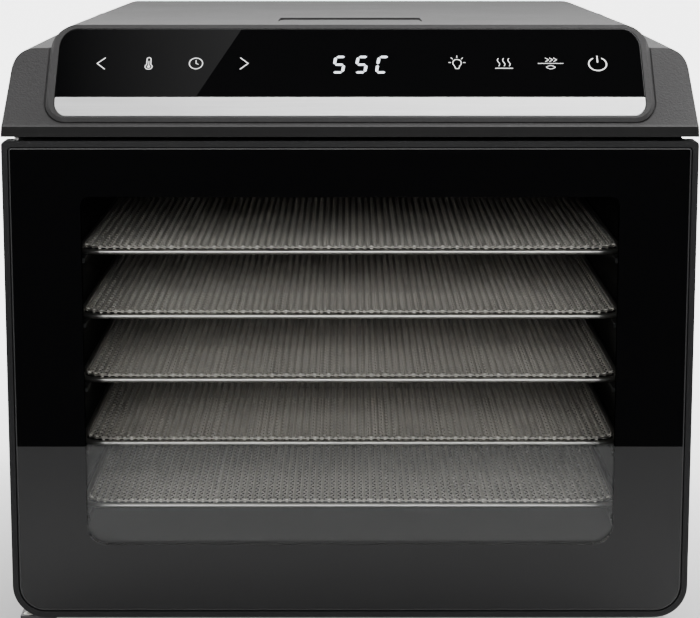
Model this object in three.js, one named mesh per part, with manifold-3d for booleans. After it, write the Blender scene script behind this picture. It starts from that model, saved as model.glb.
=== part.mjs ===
// Countertop box food dehydrator: a drying chamber with five wire trays that slide out past a
// side-hinged glass door, a rear fan and heater, and a head with a slanted touch panel.
// Millimetres. X is the width, -Y the front, +Z up. The origin is the middle of the footprint.
import * as THREE from 'three';
import { mergeVertices } from 'three/addons/utils/BufferGeometryUtils.js';
import Module from 'manifold-3d';

const wasm = await Module();
wasm.setup();

// ---- Driving dimensions ----
const GAP = 0.3; // left between pieces that touch
const HALF_WIDTH = 170; // of the door and the head
const FRONT = -190; // the door's and the head lip's front
const BACK = 190;
const SHEET = 2; // housing sheets

const FOOT_HEIGHT = 8;
const BODY_HALF = 165; // the housing is narrower than the door
const BODY_FRONT = -171; // the bezel's front face
const BEZEL_BACK = -167;
const BODY_BACK = 184;
const BODY_TOP = 251;

const DOOR_TOP = 249.3;
const DOOR_INNER = -174; // the door's back face
const DOOR_CORNER = 16.5; // its lower corners
const RIM = 3; // the visible edge round the glass
const GLASS_THICK = 4;
const WINDOW_HALF = 132;
const WINDOW_LOW = 45.7;
const WINDOW_HIGH = 221.9;
const HINGE_X = -163;
const HINGE_Y = -182;
const PIN_R = 1.5;

const HEAD_LOW = 251.3;
const SHOULDER_TOP = 292;
const POD_HALF = 149.3;
const POD_TOP = 302.95; // at the pod's front edge
const POD_EDGE_Y = -142.8;
const POD_FALL = -0.0104; // the pod's top falls towards the back, mm per mm
const HEAD_WALL = 2.5;
const PANEL_WALL = 6; // behind the slanted panel
const SLOPE = THREE.MathUtils.degToRad(44);
const PANEL_HALF = 144.75; // control glass and trim strip
const PANEL_THICK = 3;
const STRIP_LOW = 4.35; // measured up the slope from the panel's foot
const STRIP_HIGH = 16.3;
const GLASS_HIGH = 61.55;

const CHAMBER_HALF = 142;
const CHAMBER_LOW = 30;
const CHAMBER_HIGH = 236;
const CHAMBER_BACK = 96;
const TRAYS = 5;
const TRAY_TOP = 189.3; // the top tray's wire centre
const TRAY_PITCH = 33.125;
const TRAY_HALF = 138; // wire centre lines
const TRAY_FRONT = -155;
const TRAY_BACK = 90;
const TRAY_CORNER = 12;
const WIRE_R = 1.2;
const MESH_THICK = 1.6;
const RAIL_REACH = 9;
const RAIL_THICK = 2.5;

const FAN_Z = 133;
const FAN_R = 62;
const SHAFT_R = 3;
const BULKHEAD_Y = 140;

// ---- Materials ----
const finish = (color, roughness, metalness = 0) => (
  () => new THREE.MeshStandardMaterial({ color, roughness, metalness })
);
const charcoal = finish(0x3a3a3c, 0.6);
const blackPlastic = finish(0x161618, 0.5);
const darkRim = finish(0x2b2b2e, 0.45);
const paintedSteel = finish(0x2e2e31, 0.5, 0.3);
const chamberBlack = finish(0x141414, 0.4, 0.2);
const stainless = finish(0xc9c9c6, 0.25, 1);
const brushed = finish(0xd9d9d9, 0.35, 1);
const bareSteel = finish(0x9a9a98, 0.4, 1);
const doorGlass = finish(0x20262a, 0.05);
const panelGlass = finish(0x050506, 0.08);
const rubber = finish(0x1b1b1b, 0.9);
const heaterSteel = finish(0x6f6a66, 0.5, 1);
const board = finish(0x1f4a2c, 0.6);
const nylon = finish(0xe6e4dc, 0.6);
const lampGlass = finish(0xf2efe6, 0.15);

// ---- Shapes ----
// A shape's own axes lie along u and v, and it is extruded along w from one place to another.
const frame = (u, v, w) => new THREE.Matrix4().makeBasis(
  new THREE.Vector3(...u), new THREE.Vector3(...v), new THREE.Vector3(...w));
const ALONG_X = frame([0, 1, 0], [0, 0, 1], [1, 0, 0]);
const ALONG_Y = frame([-1, 0, 0], [0, 0, 1], [0, 1, 0]);
const ALONG_Z = frame([1, 0, 0], [0, 1, 0], [0, 0, 1]);
const UP = [0, Math.cos(SLOPE), Math.sin(SLOPE)];
const OUT = [0, -Math.sin(SLOPE), Math.cos(SLOPE)];
const PANEL_FOOT = new THREE.Vector3(0, -189.04, 258.28);
const ON_PANEL = frame([1, 0, 0], UP, OUT).setPosition(PANEL_FOOT);

function extrude(shape, from, to, along, curveSegments = 5) {
  const depth = to - from;
  const geometry = new THREE.ExtrudeGeometry(shape, { depth, bevelEnabled: false, curveSegments });
  return geometry.translate(0, 0, from).applyMatrix4(along);
}

function box(x0, x1, y0, y1, z0, z1) {
  const geometry = new THREE.BoxGeometry(x1 - x0, y1 - y0, z1 - z0);
  return geometry.translate((x0 + x1) / 2, (y0 + y1) / 2, (z0 + z1) / 2);
}

function outline(points) {
  return new THREE.Shape(points.map(([u, v]) => new THREE.Vector2(u, v)));
}

// A rectangle whose low and high corners are rounded, each by a radius across and one up.
function rounded(half, low, high, lowCorner, highCorner = lowCorner) {
  const [lx, ly] = [lowCorner].flat().length > 1 ? lowCorner : [lowCorner, lowCorner];
  const [hx, hy] = [highCorner].flat().length > 1 ? highCorner : [highCorner, highCorner];
  const turn = Math.PI / 2;
  const shape = new THREE.Shape();
  shape.moveTo(-half + lx, low);
  shape.absellipse(half - lx, low + ly, lx, ly, -turn, 0);
  shape.absellipse(half - hx, high - hy, hx, hy, 0, turn);
  shape.absellipse(-half + hx, high - hy, hx, hy, turn, 2 * turn);
  shape.absellipse(-half + lx, low + ly, lx, ly, 2 * turn, 3 * turn);
  return shape;
}

// A round bar or disc about an axis along Y or Z.
function barY(x, z, radius, y0, y1, sides = 16) {
  const geometry = new THREE.CylinderGeometry(radius, radius, y1 - y0, sides);
  return geometry.translate(x, (y0 + y1) / 2, z);
}

function barZ(x, y, radius, z0, z1, sides = 16) {
  const geometry = new THREE.CylinderGeometry(radius, radius, z1 - z0, sides);
  return geometry.rotateX(Math.PI / 2).translate(x, y, (z0 + z1) / 2);
}

// A turned piece about the Y axis, from [radius, height] points that run upwards outside. The
// profile ends on the axis, or closes on itself round a bore.
function turned(profile, sides = 16) {
  const closed = profile[0][0] > 0 ? [...profile, profile[0]] : profile;
  return new THREE.LatheGeometry(closed.map(([r, h]) => new THREE.Vector2(r, h)), sides);
}

function solid(geometry) {
  const bare = geometry.clone();
  bare.deleteAttribute('normal');
  bare.deleteAttribute('uv');
  const merged = mergeVertices(bare, 1e-4);
  return new wasm.Manifold(new wasm.Mesh({
    numProp: 3,
    vertProperties: new Float32Array(merged.attributes.position.array),
    triVerts: new Uint32Array(merged.index.array),
  }));
}

function cut(start, ...tools) {
  return tools.reduce((whole, tool) => whole.subtract(solid(tool)), asSolid(start));
}

function join(...pieces) {
  return pieces.slice(1).reduce((whole, piece) => whole.add(asSolid(piece)), asSolid(pieces[0]));
}

function common(a, b) {
  return asSolid(a).intersect(asSolid(b));
}

function asSolid(piece) {
  return piece.isBufferGeometry ? solid(piece) : piece;
}

function asGeometry(piece) {
  if (piece.isBufferGeometry) return piece;
  const mesh = piece.getMesh();
  const geometry = new THREE.BufferGeometry();
  geometry.setAttribute('position', new THREE.BufferAttribute(mesh.vertProperties, 3));
  geometry.setIndex(new THREE.BufferAttribute(mesh.triVerts, 1));
  return geometry;
}

const dehydrator = new THREE.Group();

function add(name, piece, material) {
  const mesh = new THREE.Mesh(asGeometry(piece), material());
  mesh.name = name;
  dehydrator.add(mesh);
}

// ---- Housing ----
const SKIN = 1.5; // the side panels
const PAN_HALF = BODY_HALF - SKIN - GAP;
const INSIDE_FRONT = BEZEL_BACK + GAP;
const INSIDE_BACK = BODY_BACK - GAP;

// A channel that runs front to back: a flat web and two flanges that turn up or down.
function channel(web, tip) {
  const inner = PAN_HALF - SHEET;
  const thick = tip > web ? SHEET : -SHEET;
  const section = outline([
    [-PAN_HALF, web], [PAN_HALF, web], [PAN_HALF, tip], [inner, tip],
    [inner, web + thick], [-inner, web + thick], [-inner, tip], [-PAN_HALF, tip],
  ]);
  return extrude(section, INSIDE_FRONT, INSIDE_BACK, ALONG_Y);
}

function basePan() {
  return channel(FOOT_HEIGHT, 22);
}

function foot(x, y) {
  const pad = turned([[0, 0], [9, 0], [10.5, 1.5], [12, FOOT_HEIGHT - GAP], [0, FOOT_HEIGHT - GAP]], 20);
  return pad.rotateX(Math.PI / 2).translate(x, y, 0);
}

function sidePanel(side) {
  const [x0, x1] = side < 0 ? [-BODY_HALF, -BODY_HALF + SKIN] : [BODY_HALF - SKIN, BODY_HALF];
  return box(x0, x1, INSIDE_FRONT, INSIDE_BACK, FOOT_HEIGHT, BODY_TOP - SHEET - GAP);
}

function topDeck() {
  const sheet = box(-BODY_HALF, BODY_HALF, INSIDE_FRONT, INSIDE_BACK, BODY_TOP - SHEET, BODY_TOP);
  return join(sheet, channel(BODY_TOP - SHEET / 2, 238));
}

const MOUTH_HALF = 140;
const MOUTH = rounded(MOUTH_HALF, 32, 234, 8);
const CATCH_X = 156;
const CATCH_HEIGHTS = { upper: 205, lower: 52 };
const MAGNET = { across: 10, tall: 24 };

function catchBlock(z, y0, y1, grow = 0) {
  const half = MAGNET.across / 2 + grow;
  const tall = MAGNET.tall / 2 + grow;
  return box(CATCH_X - half, CATCH_X + half, y0, y1, z - tall, z + tall);
}

function frontBezel() {
  const face = rounded(BODY_HALF, FOOT_HEIGHT, DOOR_TOP - GAP, 12, 3);
  const plate = extrude(face, BODY_FRONT, BEZEL_BACK, ALONG_Y);
  const pockets = Object.values(CATCH_HEIGHTS).map(
    (z) => catchBlock(z, BODY_FRONT - 1, BEZEL_BACK + 1, GAP));
  return cut(plate, extrude(MOUTH, BODY_FRONT - 1, BEZEL_BACK + 1, ALONG_Y), ...pockets);
}

function doorSeal() {
  const ring = extrude(rounded(149, 23, 243, 14), DOOR_INNER + GAP, BODY_FRONT - GAP, ALONG_Y);
  const hole = extrude(rounded(143.5, 28.5, 237.5, 10), DOOR_INNER - 1, BODY_FRONT + 1, ALONG_Y);
  return cut(ring, hole);
}

// ---- Drying chamber ----
const PLATE = 1.5;

function chamberPlate(z0) {
  return box(-144, 144, INSIDE_FRONT, BULKHEAD_Y - GAP, z0, z0 + PLATE);
}

const LAMP = { x: -108, y: -118, r: 14 };

function chamberCeiling() {
  return cut(chamberPlate(CHAMBER_HIGH), barZ(LAMP.x, LAMP.y, LAMP.r - 4, 230, 245));
}

function lampLens() {
  const top = CHAMBER_HIGH - GAP;
  const dome = turned([[0, -2.4], [8, -1.9], [LAMP.r - 1, -0.8], [LAMP.r, 0], [0, 0]], 20);
  return dome.rotateX(Math.PI / 2).translate(LAMP.x, LAMP.y, top);
}

function lampHolder() {
  const low = CHAMBER_HIGH + PLATE + GAP;
  return join(
    barZ(LAMP.x, LAMP.y, LAMP.r, low, low + 3), barZ(LAMP.x, LAMP.y, 8, low + 2, low + 9, 12));
}

const trayHeight = (level) => TRAY_TOP - level * TRAY_PITCH;

// A wall with a rail under each tray's side wire, in one section extruded front to back.
function trayRack(side) {
  const points = [[CHAMBER_HALF + SHEET, CHAMBER_LOW], [CHAMBER_HALF + SHEET, CHAMBER_HIGH - GAP]];
  points.push([CHAMBER_HALF, CHAMBER_HIGH - GAP]);
  for (let level = 0; level < TRAYS; level++) {
    const top = trayHeight(level) - WIRE_R - GAP;
    const reach = CHAMBER_HALF - RAIL_REACH;
    points.push([CHAMBER_HALF, top], [reach, top], [reach, top - RAIL_THICK]);
    points.push([CHAMBER_HALF, top - RAIL_THICK]);
  }
  points.push([CHAMBER_HALF, CHAMBER_LOW]);
  const section = outline(points.map(([x, z]) => [-side * x, z]));
  return extrude(section, INSIDE_FRONT, CHAMBER_BACK - GAP, ALONG_Y);
}

// A wire loop: a ring whose four quarters are drawn apart into a rounded rectangle.
function wireLoop(half, y0, y1, corner, radius, z) {
  const steps = 16;
  const ring = new THREE.TorusGeometry(corner, radius, 8, steps);
  ring.rotateZ(Math.PI / steps);
  const place = ring.attributes.position;
  const across = half - corner;
  const along = (y1 - y0) / 2 - corner;
  for (let i = 0; i < place.count; i++) {
    place.setX(i, place.getX(i) + Math.sign(place.getX(i)) * across);
    place.setY(i, place.getY(i) + Math.sign(place.getY(i)) * along);
  }
  return ring.translate(0, (y0 + y1) / 2, z);
}

function trayFrame(z) {
  const loop = wireLoop(TRAY_HALF, TRAY_FRONT, TRAY_BACK, TRAY_CORNER, WIRE_R, z);
  const runs = [-70, 70].map((x) => barY(x, z, WIRE_R * 0.8, TRAY_FRONT, TRAY_BACK, 8));
  return join(loop, ...runs);
}

function trayMesh(z) {
  const low = z + WIRE_R + GAP;
  const middle = (TRAY_FRONT + TRAY_BACK) / 2;
  const half = (TRAY_BACK - TRAY_FRONT) / 2 + 0.4;
  const sheet = rounded(136.5, middle - half, middle + half, 13);
  return extrude(sheet, low, low + MESH_THICK, ALONG_Z, 4);
}

// ---- Air and heat ----
const PROBE = { x: 112, z: 214 };

function fanGuard() {
  const plate = box(-CHAMBER_HALF + GAP, CHAMBER_HALF - GAP, CHAMBER_BACK, CHAMBER_BACK + PLATE,
    CHAMBER_LOW + GAP, CHAMBER_HIGH - GAP);
  const slots = [];
  for (let row = -6; row <= 6; row++) {
    const rise = row * 13;
    const reach = Math.sqrt(88 ** 2 - rise ** 2) - 2;
    const z = FAN_Z + rise;
    slots.push(box(-reach, reach, CHAMBER_BACK - 1, CHAMBER_BACK + 3, z - 3.5, z + 3.5));
  }
  return cut(plate, ...slots, barY(PROBE.x, PROBE.z, 3.5, CHAMBER_BACK - 1, CHAMBER_BACK + 3, 12));
}

function heatingCoil() {
  const ring = new THREE.TorusGeometry(78, 3.2, 8, 32);
  return ring.rotateX(Math.PI / 2).translate(0, 106, FAN_Z);
}

// A strap across the front of the fan, with a leg above and below to the bulkhead.
function heaterBracket() {
  const reach = 90;
  const [y0, y1, back] = [110.3, 111.8, BULKHEAD_Y - GAP];
  const strap = outline([
    [y0, FAN_Z - reach], [back, FAN_Z - reach], [back, FAN_Z - reach + PLATE],
    [y1, FAN_Z - reach + PLATE], [y1, FAN_Z + reach - PLATE], [back, FAN_Z + reach - PLATE],
    [back, FAN_Z + reach], [y0, FAN_Z + reach],
  ]);
  return extrude(strap, -7, 7, ALONG_X);
}

const HUB = { y0: 116, y1: 134, r: 13 };
const BLADES = 7;

function fanImpeller() {
  const blades = [];
  for (let n = 0; n < BLADES; n++) {
    const blade = new THREE.BoxGeometry(26, 1.6, FAN_R - HUB.r + 2);
    blade.rotateZ(THREE.MathUtils.degToRad(32)).translate(0, 0, (FAN_R + HUB.r) / 2 - 1);
    blades.push(blade.rotateY((n / BLADES) * 2 * Math.PI).translate(0, (HUB.y0 + HUB.y1) / 2, FAN_Z));
  }
  const hub = barY(0, FAN_Z, HUB.r, HUB.y0, HUB.y1, 24);
  return cut(join(hub, ...blades), barY(0, FAN_Z, SHAFT_R + GAP, 110, 140, 16));
}

function fanNut() {
  const nut = barY(0, FAN_Z, 6.5, 112.6, HUB.y0 - GAP, 6);
  return cut(nut, barY(0, FAN_Z, SHAFT_R + GAP, 105, 120, 16));
}

function motorShaft() {
  return barY(0, FAN_Z, SHAFT_R, 112.3, 160, 16);
}

function fanBulkhead() {
  const half = PAN_HALF - SHEET - GAP;
  const plate = box(-half, half, BULKHEAD_Y, BULKHEAD_Y + PLATE,
    FOOT_HEIGHT + SHEET + GAP, BODY_TOP - SHEET - GAP - 1.2);
  return cut(plate, barY(0, FAN_Z, 20, BULKHEAD_Y - 1, BULKHEAD_Y + 3, 24));
}

function motorBracket() {
  const y0 = BULKHEAD_Y + PLATE + GAP;
  const plate = box(-45, 45, y0, y0 + SHEET, FAN_Z - 30, FAN_Z + 30);
  return cut(plate, barY(0, FAN_Z, 14, y0 - 1, y0 + 3, 24));
}

function fanMotor() {
  const front = BULKHEAD_Y + PLATE + SHEET + 2 * GAP;
  const profile = [
    [SHAFT_R + GAP, -1], [11, -1], [11, 0], [30, 0], [32, 2], [32, 30], [30, 32], [12, 32],
    [12, 35], [SHAFT_R + GAP, 35],
  ];
  return turned(profile, 24).translate(0, front + 1, FAN_Z);
}

function thermalCutout() {
  return turned([[0, -4], [6, -4], [9, -3], [9, 0], [0, 0]], 16)
    .translate(95, BULKHEAD_Y - GAP, 205);
}

function temperatureProbe() {
  return turned([[0, 0], [1.8, 1.4], [2, 3], [2, 20], [4.5, 20], [4.5, 24], [0, 24]], 12)
    .translate(PROBE.x, CHAMBER_BACK - 8, PROBE.z);
}

// ---- Rear ----
const GLAND = { x: -128, z: 34 };

function rearCover() {
  const [y0, y1] = [BODY_BACK, BODY_BACK + 3];
  const plate = extrude(rounded(BODY_HALF, FOOT_HEIGHT, BODY_TOP, 6, 3), y0, y1, ALONG_Y);
  const slots = [];
  for (let row = -5; row <= 5; row++) {
    const z = FAN_Z + row * 11;
    const reach = Math.sqrt(66 ** 2 - (row * 11) ** 2);
    slots.push(box(-reach, reach, y0 - 1, y1 + 1, z - 2.2, z + 2.2));
  }
  const spacers = [-1, 1].map((side) => box(side * 120 - 5, side * 120 + 5, y1 - 1, BACK, 180, 225));
  return join(cut(plate, ...slots, barY(GLAND.x, GLAND.z, 7.3, y0 - 1, y1 + 1)), ...spacers);
}

function cordGland() {
  const profile = [[4, -6], [7, -6], [7, 3.3], [11, 3.3], [9, 6], [4, 6]];
  return turned(profile, 20).translate(GLAND.x, BODY_BACK, GLAND.z);
}

// ---- Head ----
// Where a line up the slope at some height above the panel's plane stands at a given height.
function slopeY(z, above) {
  const foot = PANEL_FOOT.clone().addScaledVector(new THREE.Vector3(...OUT), above);
  return foot.y + (z - foot.z) / Math.tan(SLOPE);
}

function shoulders(inset, above, low) {
  const side = HALF_WIDTH - inset;
  const top = SHOULDER_TOP - inset;
  const section = new THREE.Shape();
  section.moveTo(-side, low);
  section.lineTo(side, low);
  section.lineTo(side - 2, top - 11.5);
  section.quadraticCurveTo(side - 2.3, top, side - 14, top);
  section.lineTo(-side + 14, top);
  section.quadraticCurveTo(-side + 2.3, top, -side + 2, top - 11.5);
  const lip = FRONT + inset;
  const profile = outline([
    [lip, low], [lip, 256 - inset], [slopeY(257.4 - inset, above), 257.4 - inset],
    [slopeY(top - 1.2, above), top - 1.2], [slopeY(top + 0.5, above) + 1.6, top],
    [slopeY(top + 0.5, above) + 1.6, top + 5], [BACK - inset, top + 5], [BACK - inset, low],
  ]);
  return common(
    extrude(section, FRONT, BACK, ALONG_Y), extrude(profile, -HALF_WIDTH, HALF_WIDTH, ALONG_X));
}

function pod(inset, above, low) {
  const half = POD_HALF - inset;
  const section = rounded(half, low - 20, POD_TOP - inset, 1, 12.5 - inset);
  const falling = new THREE.Matrix4().set(
    1, 0, 0, 0, 0, 1, 0, 0, 0, POD_FALL, 1, -POD_FALL * POD_EDGE_Y, 0, 0, 0, 1);
  const front = PANEL_FOOT.y + 1.4 * UP[1];
  const profile = outline([
    [slopeY(low, above) + 2.5, low], [Math.max(front + inset, slopeY(low + 1, above)), low + 1],
    [slopeY(320, above), 320], [BACK - inset, 320], [BACK - inset, low],
  ]);
  return common(
    extrude(section, FRONT, BACK, ALONG_Y).applyMatrix4(falling),
    extrude(profile, -half, half, ALONG_X));
}

// The pocket that the control glass and the trim strip share, with a window behind the glass.
function panelPocket() {
  const space = rounded(PANEL_HALF + GAP, STRIP_LOW - GAP, GLASS_HIGH + GAP, [6, 9.6], [8.7, 13]);
  return extrude(space, -PANEL_THICK - GAP, 4, ON_PANEL);
}

const BOARD = { half: 128, low: 24, high: 54 };

function boardWindow() {
  const hole = rounded(BOARD.half + GAP, BOARD.low - GAP, BOARD.high + GAP, 2);
  return extrude(hole, -12, 0, ON_PANEL);
}

function topRecess() {
  const y0 = -107;
  const hollow = rounded(37.5, y0, y0 + 45, 4);
  const floor = POD_TOP + POD_FALL * (y0 - POD_EDGE_Y) - 1.6;
  return extrude(hollow, floor, floor + 8, ALONG_Z);
}

function headCover() {
  const outer = join(shoulders(0, -1.15, HEAD_LOW), pod(0, 0, 258.4));
  const hollow = join(
    shoulders(HEAD_WALL, -PANEL_WALL, HEAD_LOW - 5), pod(HEAD_WALL, -PANEL_WALL, 262));
  return cut(outer.subtract(hollow), panelPocket(), boardWindow(), topRecess());
}

function controlGlass() {
  const pane = rounded(PANEL_HALF, STRIP_HIGH + GAP, GLASS_HIGH, 0.6, [8.5, 12.8]);
  return extrude(pane, -PANEL_THICK, 0, ON_PANEL);
}

function trimStrip() {
  const bar = rounded(PANEL_HALF, STRIP_LOW, STRIP_HIGH, [5.8, 9.4], 0.6);
  return extrude(bar, -PANEL_THICK, 0, ON_PANEL);
}

function touchBoard() {
  const sheet = rounded(BOARD.half, BOARD.low, BOARD.high, 1.5);
  return extrude(sheet, -7.2, -5.6, ON_PANEL, 2);
}

function displayModule() {
  return extrude(rounded(19, 29, 46, 1), -5.3, -PANEL_THICK - 2 * GAP, ON_PANEL, 2)
    .translate(5.4, 0, 0);
}

function powerBoard() {
  const low = BODY_TOP + GAP;
  const sheet = box(-60, 60, 55, 140, low + 5, low + 6.6);
  const posts = [[-54, 61], [54, 61], [-54, 134], [54, 134]].map(
    ([x, y]) => barZ(x, y, 2.5, low, low + 6, 8));
  const parts = [
    box(-48, -14, 70, 100, low + 6, low + 30), box(0, 18, 66, 84, low + 6, low + 22),
    box(28, 50, 90, 104, low + 6, low + 24), box(-40, 20, 112, 128, low + 6, low + 14),
  ];
  return join(sheet, ...posts, ...parts);
}

// ---- Door ----
function doorOutline(inset) {
  return rounded(HALF_WIDTH - inset, FOOT_HEIGHT + inset, DOOR_TOP - inset,
    DOOR_CORNER - inset, Math.max(5 - inset, 1.5));
}

function windowOutline(grow) {
  return rounded(WINDOW_HALF + grow, WINDOW_LOW - grow, WINDOW_HIGH + grow, 10 + grow, 4);
}

const FRAME_BACK = -178;
const GLASS_SEAT = -185.4;
const PIN_DEPTH = 14; // how far each pin reaches into the door

function doorFrame() {
  return cut(
    extrude(doorOutline(0), FRONT, FRAME_BACK, ALONG_Y),
    extrude(doorOutline(RIM), FRONT - 1, GLASS_SEAT, ALONG_Y),
    extrude(windowOutline(3), FRONT, FRAME_BACK + 1, ALONG_Y),
    barZ(HINGE_X, HINGE_Y, PIN_R + GAP, DOOR_TOP - PIN_DEPTH - GAP, DOOR_TOP + 1, 12),
    barZ(HINGE_X, HINGE_Y, PIN_R + GAP, FOOT_HEIGHT - 1, FOOT_HEIGHT + PIN_DEPTH + GAP, 12));
}

function doorPane() {
  const back = GLASS_SEAT - GAP;
  return extrude(doorOutline(RIM + GAP), back - GLASS_THICK, back, ALONG_Y);
}

function doorInnerTrim() {
  const ring = extrude(doorOutline(5), FRAME_BACK + GAP, DOOR_INNER, ALONG_Y);
  const pockets = Object.values(CATCH_HEIGHTS).map(
    (z) => catchBlock(z, DOOR_INNER - 1.8, DOOR_INNER + 1, GAP));
  return cut(ring, extrude(windowOutline(3), FRAME_BACK, DOOR_INNER + 1, ALONG_Y), ...pockets);
}

const BRACKET = { x0: -167, x1: -149, y0: -186.8, y1: -140, thick: 2 };

function hingeBracket(z) {
  const { x0, x1, y0, y1, thick } = BRACKET;
  return cut(box(x0, x1, y0, y1, z, z + thick), barZ(HINGE_X, HINGE_Y, 3.3, z - 1, z + 5, 20));
}

function hingeBush(z) {
  return cut(
    barZ(HINGE_X, HINGE_Y, 3, z, z + BRACKET.thick, 20),
    barZ(HINGE_X, HINGE_Y, PIN_R + GAP, z - 1, z + 5, 20));
}

// ---- Assembly ----
add('base_pan', basePan(), paintedSteel);
for (const [name, x, y] of [
  ['front_left_foot', -135, -135], ['front_right_foot', 135, -135],
  ['rear_left_foot', -135, 160], ['rear_right_foot', 135, 160],
]) add(name, foot(x, y), rubber);
add('left_side_panel', sidePanel(-1), paintedSteel);
add('right_side_panel', sidePanel(1), paintedSteel);
add('top_deck', topDeck(), paintedSteel);
add('front_bezel', frontBezel(), blackPlastic);
add('door_seal', doorSeal(), rubber);

add('chamber_ceiling', chamberCeiling(), chamberBlack);
add('chamber_floor', chamberPlate(CHAMBER_LOW - PLATE - GAP), chamberBlack);
add('lamp_lens', lampLens(), lampGlass);
add('lamp_holder', lampHolder(), nylon);
add('left_tray_rack', trayRack(-1), chamberBlack);
add('right_tray_rack', trayRack(1), chamberBlack);
for (let level = 0; level < TRAYS; level++) {
  add(`tray_frame_${level + 1}`, trayFrame(trayHeight(level)), stainless);
  add(`tray_mesh_${level + 1}`, trayMesh(trayHeight(level)), stainless);
}

add('fan_guard', fanGuard(), chamberBlack);
add('heating_coil', heatingCoil(), heaterSteel);
add('heater_bracket', heaterBracket(), bareSteel);
add('fan_impeller', fanImpeller(), brushed);
add('fan_nut', fanNut(), bareSteel);
add('motor_shaft', motorShaft(), bareSteel);
add('fan_bulkhead', fanBulkhead(), bareSteel);
add('motor_bracket', motorBracket(), bareSteel);
add('fan_motor', fanMotor(), bareSteel);
add('thermal_cutout', thermalCutout(), bareSteel);
add('temperature_probe', temperatureProbe(), stainless);
add('rear_cover', rearCover(), paintedSteel);
add('cord_gland', cordGland(), blackPlastic);

add('head_cover', headCover(), charcoal);
add('control_glass', controlGlass(), panelGlass);
add('trim_strip', trimStrip(), brushed);
add('touch_board', touchBoard(), board);
add('display_module', displayModule(), blackPlastic);
add('power_board', powerBoard(), board);

add('door_frame', doorFrame(), darkRim);
add('door_glass', doorPane(), doorGlass);
add('door_inner_trim', doorInnerTrim(), blackPlastic);
const PIN_ENDS = {
  upper: [DOOR_TOP - PIN_DEPTH, BODY_TOP + GAP + BRACKET.thick],
  lower: [FOOT_HEIGHT - GAP - BRACKET.thick, FOOT_HEIGHT + PIN_DEPTH],
};
const BRACKET_LOW = { upper: BODY_TOP + GAP, lower: FOOT_HEIGHT - GAP - BRACKET.thick };
for (const end of ['upper', 'lower']) {
  add(`${end}_hinge_pin`, barZ(HINGE_X, HINGE_Y, PIN_R, ...PIN_ENDS[end], 12), bareSteel);
  add(`${end}_hinge_bracket`, hingeBracket(BRACKET_LOW[end]), bareSteel);
  add(`${end}_hinge_bush`, hingeBush(BRACKET_LOW[end]), nylon);
  add(`${end}_magnet`, catchBlock(CATCH_HEIGHTS[end], BODY_FRONT - 0.6, BEZEL_BACK, 0), bareSteel);
  add(`${end}_catch_plate`, catchBlock(CATCH_HEIGHTS[end], DOOR_INNER - 1.5, DOOR_INNER, 0), bareSteel);
}

export default dehydrator;
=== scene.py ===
# A countertop box food dehydrator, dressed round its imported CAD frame. Everything is in metres,
# +Z up, with the door facing -Y. The sections follow the object as it is put together.
import math

import bmesh
import bpy
from mathutils import Matrix, Vector


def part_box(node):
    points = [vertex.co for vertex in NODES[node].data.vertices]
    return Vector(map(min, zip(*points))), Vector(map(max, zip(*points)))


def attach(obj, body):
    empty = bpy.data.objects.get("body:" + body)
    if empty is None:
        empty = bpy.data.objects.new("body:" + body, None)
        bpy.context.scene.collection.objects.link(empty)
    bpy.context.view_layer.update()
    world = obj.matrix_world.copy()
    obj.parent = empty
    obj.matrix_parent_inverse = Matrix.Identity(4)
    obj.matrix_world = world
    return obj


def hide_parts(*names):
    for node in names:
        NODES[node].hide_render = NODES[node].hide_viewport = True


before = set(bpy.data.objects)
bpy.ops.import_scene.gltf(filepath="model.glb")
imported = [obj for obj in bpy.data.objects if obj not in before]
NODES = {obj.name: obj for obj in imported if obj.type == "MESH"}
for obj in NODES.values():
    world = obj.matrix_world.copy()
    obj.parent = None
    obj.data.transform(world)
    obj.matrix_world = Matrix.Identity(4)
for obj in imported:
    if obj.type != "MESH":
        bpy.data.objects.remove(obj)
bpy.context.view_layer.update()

# ---- Camera ----
# A long lens a little above the head and square to the door, tipped down by ten degrees, so
# that the top of the head shows and the trays are seen slightly from above.
lens_data = bpy.data.cameras.new("camera")
lens_data.lens = 118.2
lens_data.sensor_width = 36
lens_data.clip_end = 50
camera = bpy.data.objects.new("camera", lens_data)
camera.location = (0, -1.305, 0.3685)
camera.rotation_euler = (math.radians(90 - 10.28), 0, 0)
bpy.context.collection.objects.link(camera)
bpy.context.scene.camera = camera


# ---- Studio ----
# A pale round sweep and soft lamps, none of it part of the object. Four cards that only
# reflections see stand for the dark room in front, the dark and the lamp's edge over the touch
# glass, and the wall behind.
class Socket:
    """A value on its way through a shader, with Python's own arithmetic."""

    def __init__(self, tree, link):
        self.tree, self.link = tree, link

    def maths(self, operation, *values):
        node = self.tree.nodes.new("ShaderNodeMath")
        node.operation = operation
        for slot, value in zip(node.inputs, values):
            feed(self.tree, slot, value)
        return Socket(self.tree, node.outputs[0])

    def __add__(self, other):
        return self.maths("ADD", self, other)

    def __sub__(self, other):
        return self.maths("SUBTRACT", self, other)

    def __rsub__(self, other):
        return self.maths("SUBTRACT", other, self)

    def __mul__(self, other):
        return self.maths("MULTIPLY", self, other)

    def __truediv__(self, other):
        return self.maths("DIVIDE", self, other)

    def __gt__(self, other):
        return self.maths("GREATER_THAN", self, other)

    __radd__ = __add__
    __rmul__ = __mul__


def feed(tree, slot, value):
    if isinstance(value, Socket):
        tree.links.new(value.link, slot)
    else:
        slot.default_value = value


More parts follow.
